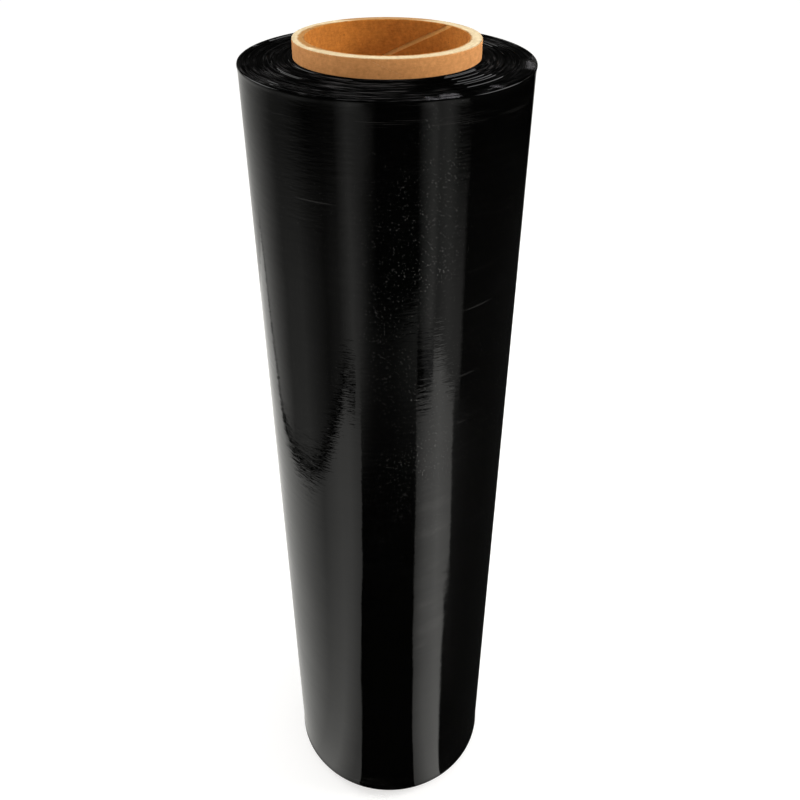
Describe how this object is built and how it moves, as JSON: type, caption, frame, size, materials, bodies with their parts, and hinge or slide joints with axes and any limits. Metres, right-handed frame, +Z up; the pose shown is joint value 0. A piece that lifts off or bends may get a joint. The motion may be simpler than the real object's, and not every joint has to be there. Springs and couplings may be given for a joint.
{
  "type": "stretch wrap roll",
  "caption": "Roll of glossy black stretch film wound on a spiral-wound cardboard core that stands out a little at both ends.",
  "frame": {"origin": "centre of the core's lower end, where the roll stands", "axes": "+Z up along the roll's axis, +X and +Y across it"},
  "size_m": [0.1396, 0.1396, 0.527],
  "materials": {
    "cardboard": "matt brown kraft paperboard",
    "film": "glossy black polyethylene film"
  },
  "bodies": {
    "root": {"cardboard_core": "cardboard", "film_roll": "film"}
  },
  "joints": []
}
